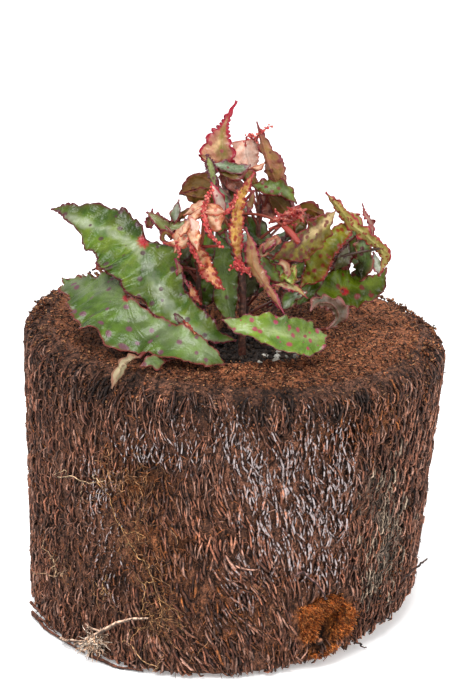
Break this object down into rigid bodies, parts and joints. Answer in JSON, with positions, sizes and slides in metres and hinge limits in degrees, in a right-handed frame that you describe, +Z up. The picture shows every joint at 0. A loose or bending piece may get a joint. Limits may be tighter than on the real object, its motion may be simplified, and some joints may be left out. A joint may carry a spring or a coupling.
{
  "type": "spotted begonia in a tree-fern fibre planter",
  "caption": "Small leafy begonia with two-pointed, red-spotted wavy leaves, rooted in soil in the hollow of a round planter cut from tree-fern root fibre; stands on its flat base.",
  "frame": {"origin": "centre of the planter's flat base", "axes": "+Z up, along the planter; the front of the plant faces -Y and +X is to its right"},
  "size_m": [0.1515, 0.1491, 0.1872],
  "materials": {
    "root_fibre": "matte dark brown matted root fibre with a grey sheen on the bent strands",
    "soil": "matt dark crumbly potting soil with pale grit",
    "woody_stem": "dull dark red-brown bark",
    "leaf_green": "satin green leaf with red-purple spots and a red margin",
    "leaf_young": "satin yellow-green to pink young leaf with red spots",
    "leaf_olive": "dull olive and red-brown leaf underside",
    "leaf_orange": "satin orange-yellow young leaf with red spots and pink margin",
    "shoot_red": "satin red knobbly young shoot",
    "bract_peach": "thin papery peach bract",
    "leaf_dry": "dull beige dried leaf"
  },
  "bodies": {
    "root": {"fern_drum": "root_fibre", "soil": "soil", "stem_main": "woody_stem", "stem_right": "woody_stem", "stem_left": "woody_stem", "stem_back": "woody_stem", "leaf_left_upper": "leaf_green", "leaf_left_lower": "leaf_green", "leaf_front": "leaf_green", "leaf_front_curl": "leaf_olive", "leaf_right_lower": "leaf_green", "leaf_right_mid": "leaf_young", "leaf_right_spotted": "leaf_young", "leaf_right_arch": "leaf_young", "leaf_right_cup": "leaf_green", "leaf_right_tiny": "shoot_red", "leaf_top": "leaf_young", "bract_top": "bract_peach", "leaf_top_right": "leaf_young", "leaf_green_top_right": "leaf_green", "leaf_brown_under": "leaf_olive", "leaf_grey_green": "leaf_green", "leaf_brown_centre": "leaf_olive", "leaf_olive_left": "leaf_olive", "leaf_grey_left": "leaf_green", "leaf_olive_small": "leaf_olive", "leaf_curly_left": "leaf_young", "leaf_narrow_toothed": "leaf_young", "bract_pale": "bract_peach", "shoot_red": "shoot_red", "leaf_orange": "leaf_orange", "leaf_beige_hanging": "bract_peach", "bract_upper": "bract_peach", "bract_fold": "bract_peach", "bract_middle": "bract_peach", "bract_left": "bract_peach", "leaf_yellow_red": "leaf_orange", "leaf_dark_left": "leaf_olive", "leaf_yellow_small": "leaf_young", "leaf_centre_green": "leaf_green", "leaf_centre_right": "leaf_green", "shoot_right": "shoot_red", "leaf_back_right": "leaf_olive", "leaf_rolled": "bract_peach", "leaf_small_green": "leaf_green", "leaf_crinkled": "leaf_young", "leaf_low_right": "leaf_green", "leaf_red_tip": "leaf_young", "leaf_dry": "leaf_dry", "leaf_under_dry": "leaf_green", "leaf_back_left": "leaf_green", "leaf_back_middle": "leaf_green", "leaf_back_low": "leaf_green", "leaf_back_high": "leaf_olive"}
  },
  "joints": []
}
